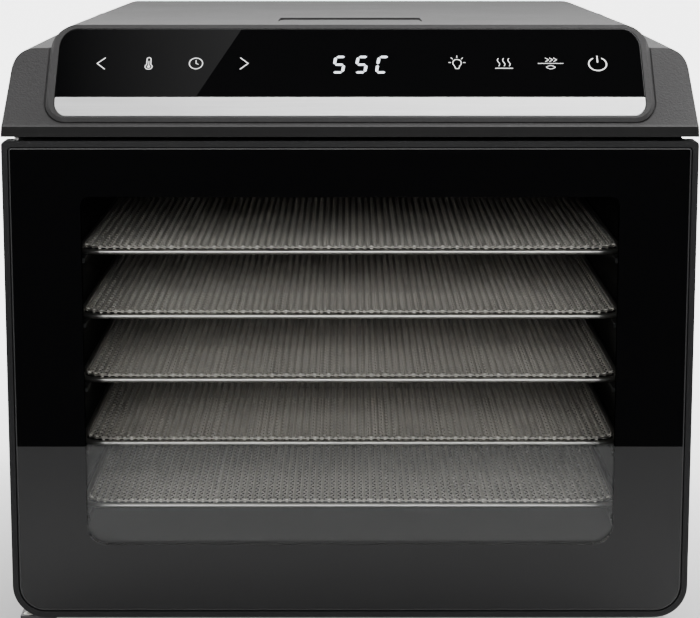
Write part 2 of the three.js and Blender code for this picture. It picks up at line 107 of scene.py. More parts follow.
class Tree:
    """A node tree in the making: node() adds any node, its settings first."""

    def node(self, kind, settings=None, output=0, **sockets):
        node = self.tree.nodes.new(kind)
        for key, value in (settings or {}).items():
            if key == "stops":
                for stop, (where, shade) in zip(node.color_ramp.elements, value):
                    stop.position, stop.color = where, (shade, shade, shade, 1)
            else:
                setattr(node, key, value)
        for socket, value in sockets.items():
            feed(self.tree, node.inputs[socket.replace("_", " ")], value)
        return Socket(self.tree, node.outputs[output])


class Finish(Tree):
    """A material in the making: constants and finished values go on its shader."""

    def __init__(self, name, colour=(0.5, 0.5, 0.5), **constants):
        self.material = bpy.data.materials.new(name)
        self.material.use_nodes = True
        self.tree = self.material.node_tree
        self.shader = self.tree.nodes["Principled BSDF"]
        self.colour = (*colour, 1)
        self.set(Base_Color=self.colour, **constants)
        self.place = self.node("ShaderNodeTexCoord", output="Object")

    def noise(self, scale, detail=2.0, roughness=0.5, vector=None):
        return self.node("ShaderNodeTexNoise", Vector=vector or self.place, Scale=scale,
                         Detail=detail, Roughness=roughness)

    def stretched(self, x, y, z):
        """The piece's coordinates, scaled along each axis."""
        return self.node("ShaderNodeMapping", Vector=self.place, Scale=(x, y, z))

    def ramp(self, factor, low, high):
        return self.node("ShaderNodeValToRGB", {"stops": [(low, 0), (high, 1)]}, Fac=factor)

    def along(self, axis, start, end, first, last, curve="LINEAR"):
        """A value that goes from first to last between two places on one axis."""
        place = self.node("ShaderNodeSeparateXYZ", output=axis, Vector=self.place)
        return self.node("ShaderNodeMapRange", {"interpolation_type": curve}, Value=place,
                         From_Min=start, From_Max=end, To_Min=first, To_Max=last)

    def blend(self, factor, first, second):
        node = self.tree.nodes.new("ShaderNodeMix")
        node.data_type = "RGBA"
        for slot, value in ((0, factor), (6, first), (7, second)):
            feed(self.tree, node.inputs[slot], value)
        return Socket(self.tree, node.outputs[2])

    def shade(self, factor, darker, lighter):
        """The finish's own colour, from darker to lighter as the factor goes from 0 to 1."""
        ends = [tuple(min(c * by, 1) for c in self.colour[:3]) + (1,) for by in (darker, lighter)]
        return self.blend(factor, *ends)

    def bump(self, height, distance, strength=1.0):
        return self.node("ShaderNodeBump", Height=height, Distance=distance, Strength=strength)

    def set(self, **sockets):
        for socket, value in sockets.items():
            feed(self.tree, self.shader.inputs[socket.replace("_", " ")], value)
        return self.material


def collect(name, mesh, material=None):
    piece = bpy.data.objects.new(name, mesh)
    bpy.context.collection.objects.link(piece)
    if material:
        mesh.materials.append(material)
    return piece


def mesh_of(name, corners, faces, smooth=False):
    mesh = bpy.data.meshes.new(name)
    mesh.from_pydata([Vector(c) for c in corners], [], faces)
    if smooth:
        mesh.shade_smooth()
    mesh.update()
    return mesh


def bands(rings, around, first=0, closed=False, inward=False):
    """Quads between each ring of corners and the next, and from the last to the first if
    closed."""
    faces = []
    for ring in range(rings if closed else rings - 1):
        base, after = first + ring * around, first + (ring + 1) % rings * around
        for i in range(around):
            j = (i + 1) % around
            faces.append((base + i, after + i, after + j, base + j) if inward
                         else (base + i, base + j, after + j, after + i))
    return faces


def sweep():
    """A round floor that curves up into a wall on every side."""
    bend, reach, tall, around = 0.9, 3.6, 3.4, 72
    profile = [(reach - bend + bend * math.sin(a), bend - bend * math.cos(a))
               for a in (step / 16 * math.pi / 2 for step in range(17))] + [(reach, tall)]
    corners = [(0, 0, 0)]
    for radius, height in profile:
        corners += [(radius * math.cos(2 * math.pi * i / around),
                     radius * math.sin(2 * math.pi * i / around), height)
                    for i in range(around)]
    faces = [(0, 1 + i, 1 + (i + 1) % around) for i in range(around)]
    faces += bands(len(profile), around, first=1, inward=True)
    return mesh_of("sweep", corners, faces, smooth=True)


def sweep_paper():
    """Pale paper that glows more and more towards the back, where it is lit from behind. Its
    colour darkens towards the front as painted shade, which keeps bounced light off the object's
    front.
    """
    paper = Finish("sweep_paper", Roughness=0.9, Specular_IOR_Level=0.0, Emission_Strength=1.0)
    return paper.set(Base_Color=paper.along(1, -0.7, 0.1, 0.30, 0.62, "SMOOTHSTEP"),
                     Emission_Color=paper.along(1, -0.35, 0.9, 0.0, 3.2, "SMOOTHSTEP"))


def card(name, corners, tone, strength=0.0):
    """A flat card that only reflections see."""
    paint = Finish(name, (tone, tone, tone), Roughness=1.0, Specular_IOR_Level=0.0,
                   Emission_Color=(1, 1, 1, 1), Emission_Strength=strength)
    piece = collect(name, mesh_of(name, corners, [(0, 1, 2, 3)]), paint.material)
    for sight in ("camera", "diffuse", "shadow", "transmission"):
        setattr(piece, f"visible_{sight}", False)
    return paint


def rectangle(centre, half_width, half_rise):
    """The corners of a card that is level across."""
    centre, across, rise = Vector(centre), Vector((half_width, 0, 0)), Vector(half_rise)
    return [centre - across - rise, centre + across - rise, centre + across + rise,
            centre - across + rise]


def lamp(name, place, aim, width, height, power, diffuse=1.0):
    data = bpy.data.lights.new(name, "AREA")
    data.shape = "RECTANGLE"
    data.size, data.size_y, data.energy, data.diffuse_factor = width, height, power, diffuse
    piece = bpy.data.objects.new(name, data)
    piece.location = place
    piece.rotation_euler = (Vector(aim) - Vector(place)).to_track_quat("-Z", "Y").to_euler()
    bpy.context.collection.objects.link(piece)


world = bpy.data.worlds.new("room")
world.use_nodes = True
room_light = world.node_tree.nodes["Background"].inputs
room_light["Color"].default_value = (0.9, 0.92, 0.95, 1)
room_light["Strength"].default_value = 0.09
bpy.context.scene.world = world

lamp("key_lamp", (-2.2, -0.1, 1.7), (0, 0, 0.15), 1.2, 1.2, 9)
lamp("fill_lamp", (2.2, -0.1, 1.6), (0, 0, 0.15), 1.4, 1.4, 13)
lamp("top_lamp", (0.3, 0.75, 2.2), (0, 0, 0.2), 2.6, 1.3, 26)
lamp("gleam_lamp", (0.5, 0.55, 2.1), (0, -0.18, 0.27), 1.8, 0.8, 62, diffuse=0)
lamp("wire_lamp", (0, -1.9, 0.8), (0, -0.1, 0.1), 2.4, 0.6, 38, diffuse=0)
lamp("back_lamp", (0, 1.3, 1.3), (0, 0.1, 0.3), 2.4, 0.8, 10)

collect("sweep", sweep(), sweep_paper())
# The rear card glows: painted light for the lit wall behind.
card("rear_card", rectangle((0, 0.7, 0.45), 1.2, (0, 0, 0.2)), 0, 0.5)
card("front_card", rectangle((0, -0.585, 0.13), 0.7, (0, 0, 0.13)), 0.004)
card("overhead_card", rectangle((0, -0.19, 1.0), 0.28, (0, 0.065, 0)), 0.002)

# The lamp's edge is bright along one slanted side and fades away from it.
GLOW_HEIGHT, GLOW_FRONT, GLOW_BACK, GLOW_LEFT = 0.99, -0.2357, -0.141, -0.30
edge_glow = card("edge_glow", [
    (-0.0728, GLOW_BACK, GLOW_HEIGHT), (-0.1382, GLOW_FRONT, GLOW_HEIGHT),
    (GLOW_LEFT, GLOW_FRONT, GLOW_HEIGHT), (GLOW_LEFT, GLOW_BACK, GLOW_HEIGHT)], 0, 1.0)
edge_glow.set(Emission_Color=edge_glow.along(0, -0.235, -0.09, 0.0, 0.5))


# ---- Base, side panels, deck and rear cover ----
# Folded steel sheets, powder coated charcoal outside. The pan and the deck are channels with
# turned-up flanges, the panels slip over them, and six screws hold the rear cover.
def weathered(name, colour, cloud, fine, tones, polish, depth, firm=0.5, draw=(1, 1, 1),
              **constants):
    """A finish whose tone and shine wander with a slow cloud, over a fine relief. Its polish is
    the roughness and how much of the cloud and of the relief is added to it."""
    skin = Finish(name, colour, **constants)
    slow = skin.noise(*cloud)
    quick = skin.noise(*fine, vector=skin.stretched(*draw))
    rough, by_cloud, by_relief = polish
    return skin.set(
        Base_Color=skin.shade(slow, *tones), Normal=skin.bump(quick, depth, firm),
        Roughness=rough + by_cloud * slow + by_relief * quick)


def paint(piece, material):
    piece.data.materials.clear()
    piece.data.materials.append(material)


def own(node, material):
    """Gives a carried-over CAD solid its finished material."""
    paint(NODES[node], material)


# Baked powder: a fine orange peel over a colour that wanders a little.
POWDER = weathered("powder_coat", (0.021, 0.021, 0.022), (9, 3), (900, 2.5, 0.55), (0.82, 1.2),
                   (0.40, 0.06, 0.16), 0.00012, 0.6, Specular_IOR_Level=0.3)
own("base_pan", POWDER)
own("top_deck", POWDER)


# ---- Head cover ----
# One moulding of charcoal plastic with a fine spark-eroded grain: two low shoulders and a
# raised middle that runs to the back, a 44 degree face with a pocket for the touch panel, a
# groove round the panel's frame and a shallow finger recess in the top.
def axes(u, v, w, foot=(0, 0, 0)):
    turn = Matrix((u, v, w)).transposed().to_4x4()
    turn.translation = Vector(foot)
    return turn


ALONG_X = axes((0, 1, 0), (0, 0, 1), (1, 0, 0))
ALONG_Y = axes((-1, 0, 0), (0, 0, 1), (0, 1, 0))
ALONG_Z = axes((1, 0, 0), (0, 1, 0), (0, 0, 1))
MM = 0.001


def loft(name, outlines, heights, along, material=None):
    """A closed solid through like outlines at rising heights along the third axis."""
    count = len(outlines[0])
    corners = [along @ Vector((u * MM, v * MM, h * MM))
               for points, h in zip(outlines, heights) for u, v in points]
    faces = [tuple(reversed(range(count))), *bands(len(outlines), count),
             tuple(range((len(outlines) - 1) * count, len(outlines) * count))]
    return collect(name, mesh_of(name, corners, faces), material)


def prism(name, points, low, high, along, material=None):
    return loft(name, [points, points], [low, high], along, material)


def arc(cx, cy, rx, ry, start, end, steps=10):
    """Points on an ellipse from one angle in degrees to another, both ends included."""
    turn = [math.radians(start + (end - start) * i / steps) for i in range(steps + 1)]
    return [(cx + rx * math.cos(a), cy + ry * math.sin(a)) for a in turn]


def panel_outline(half, low, high, low_corner, high_corner, steps=10):
    """A rectangle, mirrored about the middle, with (across, up) radii at its corners."""
    (lx, ly), (hx, hy) = low_corner, high_corner
    right = arc(half - lx, low + ly, lx, ly, -90, 0, steps)
    right += arc(half - hx, high - hy, hx, hy, 0, 90, steps)
    return right + [(-x, y) for x, y in reversed(right)]


def rounded(half, low, high, radius, steps=10):
    """A rectangle, mirrored about the middle, with the same radius at every corner."""
    return panel_outline(half, low, high, (radius, radius), (radius, radius), steps)


def oblong(left, right, low, high):
    return [(left, low), (right, low), (right, high), (left, high)]


def span(node, axis):
    """A solid's lowest and highest place along one axis, in millimetres."""
    return (corner[axis] * 1000 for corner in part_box(node))


def discard(piece):
    spent = piece.data
    bpy.data.objects.remove(piece)
    bpy.data.meshes.remove(spent)


def replace_mesh(piece):
    """Turns the piece's modifiers into its mesh."""
    view = bpy.context.evaluated_depsgraph_get()
    view.update()
    old = piece.data
    piece.data = bpy.data.meshes.new_from_object(piece.evaluated_get(view))
    piece.modifiers.clear()
    bpy.data.meshes.remove(old)
    return piece


def carve(piece, *tools, operation="DIFFERENCE"):
    for tool in tools:
        step = piece.modifiers.new("carve", "BOOLEAN")
        step.operation, step.solver, step.object = operation, "EXACT", tool
        replace_mesh(piece)
        discard(tool)
    return piece


def outward(piece, weld=0.0, flat=0.0):
    """Turns all faces outwards, once corners closer than weld are merged and the edges between
    faces less than flat degrees apart are cleared."""
    shape = bmesh.new()
    shape.from_mesh(piece.data)
    if weld:
        bmesh.ops.remove_doubles(shape, verts=shape.verts, dist=weld)
    if flat:
        bmesh.ops.dissolve_limit(shape, angle_limit=math.radians(flat), verts=shape.verts,
                                 edges=shape.edges)
    bmesh.ops.recalc_face_normals(shape, faces=shape.faces)
    shape.to_mesh(piece.data)
    shape.free()
    return piece


def soften(piece, width, segments=2, sharp=28):
    """Clears the cuts' spare edges, then rounds every sharp edge by a small radius."""
    outward(piece, weld=2e-6, flat=0.6)
    step = piece.modifiers.new("round", "BEVEL")
    step.width, step.segments = width * MM, segments
    step.limit_method, step.angle_limit = "ANGLE", math.radians(sharp)
    step.use_clamp_overlap = True
    return even(replace_mesh(piece), sharp)


def even(piece, sharp=28):
    """Shades the piece smooth while its large flat faces stay optically flat."""
    piece.data.shade_smooth()
    piece.data.set_sharp_from_angle(angle=math.radians(sharp))
    step = piece.modifiers.new("normals", "WEIGHTED_NORMAL")
    step.mode, step.weight, step.keep_sharp = "FACE_AREA", 100, True
    return replace_mesh(piece)


HEAD_LOW, HEAD_HIGH = span("head_cover", 2)
HALF, FRONT, BACK = 170.0, -190.0, 190.0
SHOULDER_TOP, LIP_EDGE = 292.0, 256.3
SLOPE = math.radians(44)
FOOT_Y, FOOT_Z = -189.04, 258.28
ON_PANEL = axes((1, 0, 0), (0, math.cos(SLOPE), math.sin(SLOPE)),
                (0, -math.sin(SLOPE), math.cos(SLOPE)), (0, FOOT_Y * MM, FOOT_Z * MM))
POD_HALF, POD_EDGE_Y, POD_FALL = 149.3, -142.8, -0.0104
STEP = 1.15  # the panel's frame stands this proud of the shoulders' slope


def slope_y(z, above):
    """Where the slope, raised by some height along its normal, is at height z."""
    y, foot = FOOT_Y - above * math.sin(SLOPE), FOOT_Z + above * math.cos(SLOPE)
    return y + (z - foot) / math.tan(SLOPE)


def shoulders(inset, above, low):
    """The wide low body: its sides lean in and turn over into the top in one soft curve."""
    side, top, lean, drop, steps = HALF - inset, SHOULDER_TOP - inset, 2.0, 11.5, 12
    right = [(side, low), (side - lean, top - drop)]
    for i in range(1, steps + 1):
        t = i / steps
        a, b, c = (1 - t) ** 2, 2 * t * (1 - t), t * t
        right.append((a * (side - lean) + b * (side - 2.3) + c * (side - 14),
                      a * (top - drop) + (b + c) * top))
    section = right + [(-x, z) for x, z in reversed(right)]
    lip, edge = FRONT + inset, LIP_EDGE - inset
    profile = [(lip, low), (lip, edge), (slope_y(edge + 1.0, above), edge + 1.0),
               (slope_y(top, above), top), (slope_y(top, above) + 1, top + 6),
               (BACK - inset, top + 6), (BACK - inset, low)]
    body = prism("shoulders", section, FRONT - 5, BACK + 5, ALONG_Y)
    return carve(body, prism("side", profile, -HALF - 5, HALF + 5, ALONG_X),
                 operation="INTERSECT")


def pod(inset, above, low):
    """The raised middle, which runs to the back and falls a little on its way."""
    half, top, radius, over = POD_HALF - inset, HEAD_HIGH - inset, 12.5 - inset, 330
    section = panel_outline(half, low - 20, top, (1, 1), (radius, radius))
    profile = [(slope_y(low, above) + 2, low), (slope_y(low, above), low),
               (slope_y(over, above), over), (BACK - inset, over), (BACK - inset, low)]
    body = prism("pod", section, FRONT - 5, BACK + 5, ALONG_Y)
    for corner in body.data.vertices:
        corner.co.z += POD_FALL * (corner.co.y - POD_EDGE_Y * MM)
    return carve(body, prism("side", profile, -HALF, HALF, ALONG_X), operation="INTERSECT")


def frame_outline(grow=0.0):
    """The panel frame's own edge, open far up the slope so that it runs into the pod."""
    return panel_outline(POD_HALF + grow, 1.4 - grow, 420, (10 + grow, 13 + grow), (2, 2))


def grained_plastic(name, colour, roughness, grain=1500, depth=0.00010):
    """Moulded plastic off a spark-eroded tool: fine grain, faint cloudiness, worn shine."""
    skin = Finish(name, colour, Specular_IOR_Level=0.2)
    fine = skin.noise(grain, 3, 0.6)
    wide = skin.noise(14, 4, 0.6)
    fleck = skin.noise(grain * 0.45, 2)
    return skin.set(
        Base_Color=skin.shade(fine * 0.3 + fleck * 0.45 + wide * 0.25, 0.62, 1.42),
        Roughness=roughness - 0.08 + 0.14 * wide + 0.08 * fine,
        Normal=skin.bump(fine, depth, 0.75))


CHARCOAL = grained_plastic("charcoal_grain", (0.0245, 0.0237, 0.0241), 0.55, 900, 0.00022)
# Painted shade: the lip is the same charcoal plastic, made far darker to stand for the shade it
# lies in under the slope.
SHADED_LIP = grained_plastic("lip_grain_painted_shade", (0.0026, 0.0025, 0.0025), 0.40, 1300, 0.00005)


def head_cover():
    cover = shoulders(0, -STEP, HEAD_LOW)
    crown = pod(0, 0, FOOT_Z - 3)
    taper = loft("taper", [frame_outline(), frame_outline(), frame_outline(-2.4)],
                 [-400, -STEP, 0.6], ON_PANEL)
    carve(crown, taper, operation="INTERSECT")
    carve(cover, crown, operation="UNION")
    groove_width, groove_depth, wall, board_gap = 0.9, 1.0, 2.5, -6.0
    groove = prism("groove", frame_outline(groove_width), -STEP - groove_depth, 6, ON_PANEL)
    carve(groove, prism("core", frame_outline(), -20, 20, ON_PANEL))
    carve(cover, groove)
    hollow = shoulders(wall, board_gap, HEAD_LOW - 5)
    carve(hollow, pod(wall, board_gap, 262), operation="UNION")
    carve(cover, hollow)
    pocket = panel_outline(145.1, 4.05, 61.85, (6, 9.6), (8.7, 13))
    window = rounded(128.3, 23.7, 54.3, 2, 3)
    front, depth, sunk = -107.0, 45.0, 1.5
    floor = HEAD_HIGH + POD_FALL * (front - POD_EDGE_Y) - sunk
    recess = rounded(37.5, front, front + depth, 4, 6)
    carve(cover, prism("pocket", pocket, -3.3, 4, ON_PANEL),
          prism("window", window, -14, 0, ON_PANEL),
          prism("recess", recess, floor, floor + 9, ALONG_Z))
    cover.name = cover.data.name = "head_shell"
    paint(cover, CHARCOAL)
    soften(cover, 0.45, 3)
    # The front lip below the slope takes the darker copy, painted shade on the same plastic.
    cover.data.materials.append(SHADED_LIP)
    for face in cover.data.polygons:
        if face.normal.y < -0.9 and face.center.z < (LIP_EDGE - 0.1) * MM:
            face.material_index = 1
    return cover


def finished(piece, node, body):
    """Hides the CAD solid that a new piece stands for, if it has one, and hangs the piece on the
    body it moves with.
    """
    if node:
        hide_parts(node)
    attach(piece, body)


finished(head_cover(), "head_cover", "housing")


# ---- Touch panel ----
# A pane of black glass and a brushed aluminium strip, both bonded flush into the head's
# pocket. The symbols and the three display characters shine through from behind; the boards
# and the display module sit under the glass.
def black_glass(name, colour, polish, scale, stretch=1.0):
    """Glass printed black behind, with the faint haze that wiping leaves."""
    glass = Finish(name, colour, IOR=1.5)
    haze = glass.noise(scale, 4, 0.6, glass.stretched(1.0, stretch, stretch))
    return glass.set(Roughness=polish + 0.03 * glass.ramp(haze, 0.5, 0.85))


def brushed_strip():
    """Aluminium brushed along its length: long fine streaks and a slow cloud under them."""
    metal = Finish("brushed_strip", (0.93, 0.93, 0.94), Metallic=0.85)
    streaks = metal.noise(40, 5, 0.65, metal.stretched(0.35, 30, 30))
    fine = metal.noise(160, 3, 0.6, metal.stretched(0.12, 26, 26))
    return metal.set(
        Base_Color=metal.shade(streaks * 0.7 + fine * 0.3, 0.72, 1.12),
        Roughness=0.30 + 0.22 * streaks + 0.08 * fine,
        Normal=metal.bump(fine * 0.7 + streaks * 0.3, 0.00008, 0.8))


STRIP_LOW, STRIP_HIGH, GLASS_HIGH, PANEL_HALF = 4.35, 16.3, 61.55, 144.75
touch_glass = prism("touch_glass", panel_outline(
    PANEL_HALF, STRIP_HIGH + 0.3, GLASS_HIGH, (0.6, 0.6), (8.5, 12.8), 14),
    -3, 0, ON_PANEL, black_glass("touch_glass", (0.0022, 0.0022, 0.0024), 0.006, 5, 2.2))
strip = prism("trim_bar", panel_outline(
    PANEL_HALF, STRIP_LOW, STRIP_HIGH, (5.8, 9.4), (0.6, 0.6), 14),
    -3, 0.1, ON_PANEL, brushed_strip())
finished(soften(touch_glass, 0.25, 3), "control_glass", "housing")
finished(soften(strip, 0.3, 3), "trim_strip", "housing")


PRINT_LOW, PRINT_HIGH = 0.004, 0.03


def ribbon(points, width, closed=False):
    """A flat line of one width through the points, as a thin closed strip on the glass."""
    places = [Vector(p) for p in points]
    rings = []
    for i, here in enumerate(places):
        before = places[i - 1] if closed or i > 0 else None
        after = places[(i + 1) % len(places)] if closed or i < len(places) - 1 else None
        ways = [w.normalized() for w in (
            here - before if before else None, after - here if after else None) if w]
        sides = [Vector((-w.y, w.x)) for w in ways]
        side = sum(sides[1:], sides[0])
        side *= width / 2 / (1 + sides[0].dot(sides[-1])) * (1 if len(sides) > 1 else 2)
        left, right = here + side, here - side
        rings.append([(*left, PRINT_LOW), (*right, PRINT_LOW),
                      (*right, PRINT_HIGH), (*left, PRINT_HIGH)])
    faces = bands(len(rings), 4, closed=closed)
    if not closed:
        faces += [(3, 2, 1, 0), tuple(4 * len(rings) - 4 + k for k in range(4))]
    return [corner for ring in rings for corner in ring], faces


def patch(points):
    """A filled flat shape on the glass."""
    count = len(points)
    corners = [(x, y, h) for h in (PRINT_LOW, PRINT_HIGH) for x, y in points]
    return corners, [tuple(reversed(range(count))), tuple(range(count, 2 * count)),
                     *bands(2, count)]


def on_glass(name, marks, material):
    corners, faces = [], []
    for points, sides in marks:
        faces += [tuple(len(corners) + i for i in side) for side in sides]
        corners += [ON_PANEL @ (Vector(p) * MM) for p in points]
    return outward(collect(name, mesh_of(name, corners, faces), material))


def symbols(row=38.3):
    """Left to right: back, temperature, time, forward, lamp, keep warm, quick dry, power."""
    def line(x, points, width, rise=0.0, closed=False):
        return ribbon([(x + u, row + rise + v) for u, v in points], width, closed)

    back = line(-123.4, [(2.0, 3.8), (-2.0, 0), (2.0, -3.8)], 0.47)
    forward = line(-52.5, [(-2.0, 3.8), (2.0, 0), (-2.0, -3.8)], 0.47)
    tube = line(-99.8, arc(0, -2.1, 1.75, 1.75, 125, 415, 16)
                + arc(0, 2.6, 1.0, 1.3, 0, 180, 8), 0.40, closed=True)
    mercury = line(-99.8, [(0, 1.6), (0, -1.6)], 0.33)
    bulb = patch(arc(-99.8, row - 2.1, 0.75, 0.75, 0, 330, 11))
    clock = line(-76.4, arc(0, 0, 3.3, 3.55, 0, 345, 23), 0.40, closed=True)
    hands = line(-76.4, [(0, 2.2), (0, 0), (1.3, -0.6)], 0.33)
    lamp_glass = line(53.1, arc(0, 0.3, 2.1, 2.4, -50, 230, 18)
                      + [(-0.75, -3.4), (0.75, -3.4)], 0.38, closed=True)
    rays = [line(53.1, [(3.0 * math.cos(a), 3.2 * math.sin(a)),
                        (4.2 * math.cos(a), 4.6 * math.sin(a))], 0.33, 0.6)
            for a in (math.radians(d) for d in (0, 45, 90, 135, 180))]
    heat = [line(76.3 + x, [(0.55 * math.sin(t * 0.9), -2.6 + t * 0.75) for t in range(8)],
                 0.36, 0.8) for x in (-2.6, 0, 2.6)]
    plate = line(76.3, [(-4.4, -3.2), (4.4, -3.2)], 0.38)
    bar = line(99.5, [(-6.3, 0), (6.3, 0)], 0.33)
    quick = [line(99.5 + x, [(-0.9, 1.3), (0.7, 0), (-0.9, -1.3)], 0.33, 2.4)
             for x in (-1.6, 0.4, 2.4)]
    leaf = line(99.5, arc(0, -1.5, 2.6, 2.6, 35, 145, 8)
                + arc(0, 1.5, 2.6, 2.6, 215, 325, 8), 0.3, -2.5, closed=True)
    ring = line(122.8, arc(0, 0, 4.4, 4.3, 118, 422, 26), 0.62, -0.4)
    switch = line(122.8, [(0, 5.0), (0, 0.6)], 0.62)
    return [back, forward, tube, mercury, bulb, clock, hands, lamp_glass, *rays, *heat, plate,
            bar, *quick, leaf, ring, switch]


SEGMENTS = {  # ends of each bar on a 1 by 2 cell
    "top": ((0, 2), (1, 2)), "upper_left": ((0, 2), (0, 1)), "middle": ((0, 1), (1, 1)),
    "lower_right": ((1, 1), (1, 0)), "lower_left": ((0, 1), (0, 0)), "bottom": ((0, 0), (1, 0))}
FIVE = ("top", "upper_left", "middle", "lower_right", "bottom")
LETTER_C = ("top", "upper_left", "lower_left", "bottom")


def character(centre, lit, low=32.4, wide=4.7, tall=5.1, slant=0.14, bar=0.72, gap=0.28):
    """One slanted seven-bar character."""
    marks = []
    for name in lit:
        (x0, y0), (x1, y1) = SEGMENTS[name]
        start, end = Vector((x0 * wide, y0 * tall)), Vector((x1 * wide, y1 * tall))
        way = (end - start).normalized()
        side = Vector((-way.y, way.x)) * bar
        start, end = start + way * gap, end - way * gap
        points = [start, start + way * bar + side, end - way * bar + side, end,
                  end - way * bar - side, start + way * bar - side]
        marks.append(patch([(centre - wide / 2 + p.x + (p.y - tall) * slant, low + p.y)
                            for p in points]))
    return marks


def lit_mark(name, colour, strength):
    """Print that lets the lamps behind it through, a little uneven from lamp to lamp."""
    mark = Finish(name, colour, Roughness=0.5, Emission_Strength=strength)
    cloud = mark.noise(60, 2)
    return mark.set(Emission_Color=mark.shade(cloud, 0.8, 1.1))


marks = on_glass("touch_symbols", symbols(), lit_mark("symbol_light", (0.86, 0.86, 0.86), 0.55))
finished(marks, None, "housing")
digits = [character(x, lit) for x, lit in ((-5.4, FIVE), (5.7, FIVE), (16.1, LETTER_C))]
display = on_glass("display_characters", [mark for one in digits for mark in one],
                   lit_mark("display_light", (0.85, 0.90, 1.0), 0.95))
finished(display, None, "housing")


def circuit_board():
    """Green solder mask with copper runs just showing under it."""
    sheet = Finish("solder_mask", (0.02, 0.10, 0.045), Coat_Weight=0.3, Coat_Roughness=0.2)
    runs = sheet.node("ShaderNodeTexBrick", Vector=sheet.place, Scale=240.0, Mortar_Size=0.03,
                      Color1=(0, 0, 0, 1), Color2=(0.2, 0.2, 0.2, 1), Mortar=(1, 1, 1, 1))
    return sheet.set(Base_Color=sheet.shade(runs, 0.8, 1.9), Roughness=0.35 + 0.2 * runs)


GREEN = circuit_board()
own("touch_board", GREEN)
own("power_board", GREEN)
own("display_module", grained_plastic("display_case", (0.012, 0.012, 0.013), 0.5))


# ---- Door ----
# A full-width pane of toughened glass, printed black round a clear window, bonded into a slim
# dark grey frame. It swings on two steel pins at its left edge; an inner trim ring covers the
# bond and carries two steel plates for the catch magnets.
DOOR_LOW, DOOR_TOP = span("door_frame", 2)
PANE_FRONT, PANE_BACK = span("door_glass", 1)
HINGE_X, HINGE_Y, PIN_RADIUS, PIN_DEPTH = -163.0, -182.0, 1.8, 14.3


def door_outline(inset):
    """The door's edge moved inwards: wide corners below, tight ones above."""
    low, high = 16.5 - inset, min(max(5 - inset, 1.5), 2.2)
    return panel_outline(HALF - inset, DOOR_LOW + inset, DOOR_TOP - inset, (low, low),
                         (high, high), 12)


def window_outline(grow):
    low, high = 10 + grow, 4 + grow
    return panel_outline(132 + grow, 45.7 - grow, 221.9 + grow, (low, low), (high, high))


def pin_hole(low, high):
    return prism("pin_hole", arc(HINGE_X, HINGE_Y, PIN_RADIUS, PIN_RADIUS, 0, 337.5, 15), low,
                 high, ALONG_Z)


def door_frame():
    rim = prism("door_rim", door_outline(0), FRONT, -178, ALONG_Y,
                grained_plastic("rim_grain", (0.0085, 0.0085, 0.009), 0.36, 1300, 0.00006))
    carve(rim, prism("seat", door_outline(3), FRONT - 2, PANE_BACK + 0.3, ALONG_Y),
          prism("window", window_outline(3), FRONT, -170, ALONG_Y),
          pin_hole(DOOR_TOP - PIN_DEPTH, DOOR_TOP + 2),
          pin_hole(DOOR_LOW - 2, DOOR_LOW + PIN_DEPTH))
    return soften(rim, 0.7, 4)


def clear_glass():
    """Clear glass as a thin pane: it mirrors by angle and lets the rest straight through."""
    glass = Finish("door_pane", (0.8, 0.82, 0.82))
    mirror = glass.node("ShaderNodeBsdfGlossy", Color=(1, 1, 1, 1), Roughness=0.0)
    through = glass.node("ShaderNodeBsdfTransparent", Color=(0.908, 0.915, 0.912, 1))
    share = glass.node("ShaderNodeFresnel", IOR=1.5)
    mixed = glass.node("ShaderNodeMixShader")
    for slot, value in zip(mixed.link.node.inputs, (share, through, mirror)):
        feed(glass.tree, slot, value)
    glass.tree.nodes.remove(glass.shader)
    feed(glass.tree, glass.tree.nodes["Material Output"].inputs["Surface"], mixed)
    return glass.material


def ground_edge():
    """The pane's bare edge, ground to a fine matt grey."""
    glass = Finish("ground_edge", (0.024, 0.024, 0.0245))
    frost = glass.noise(1200, 2)
    return glass.set(Base_Color=glass.shade(frost, 0.8, 1.25), Roughness=0.34 + 0.15 * frost)


def copy_of(piece):
    twin = piece.copy()
    twin.data = piece.data.copy()
    bpy.context.collection.objects.link(twin)
    return twin


def join(first, *others):
    """Makes one piece of several, each part keeping its own material."""
    shape = bmesh.new()
    slots = []
    for piece in (first, *others):
        part = bmesh.new()
        part.from_mesh(piece.data)
        for face in part.faces:
            face.material_index = len(slots)
        slots.append(piece.data.materials[0])
        scrap = bpy.data.meshes.new("part")
        part.to_mesh(scrap)
        part.free()
        shape.from_mesh(scrap)
        bpy.data.meshes.remove(scrap)
    shape.to_mesh(first.data)
    shape.free()
    for slot in slots[len(first.data.materials):]:
        first.data.materials.append(slot)
    for piece in others:
        discard(piece)
    return first


def door_pane():
    """The slab is rounded whole, then parted along the window's edge into print and clear."""
    slab = prism("door_pane", door_outline(3.3), PANE_FRONT, PANE_BACK, ALONG_Y)
    border = soften(slab, 0.8, 3)
    clear = copy_of(border)
    carve(border, prism("cut", window_outline(0), -200, -170, ALONG_Y))
    carve(clear, prism("cut", window_outline(0), -200, -170, ALONG_Y), operation="INTERSECT")
    paint(border, black_glass("printed_glass", (0.0018, 0.0018, 0.0020), 0.004, 4))
    paint(clear, clear_glass())
    pane = even(join(border, clear))
    pane.data.materials.append(ground_edge())
    for face in pane.data.polygons:
        past_window = abs(face.center.x) > 0.14 or not 0.04 < face.center.z < 0.23
        if past_window and abs(face.normal.y) < 0.97:
            face.material_index = 2
    return pane


finished(door_frame(), "door_frame", "door")
finished(door_pane(), "door_glass", "door")


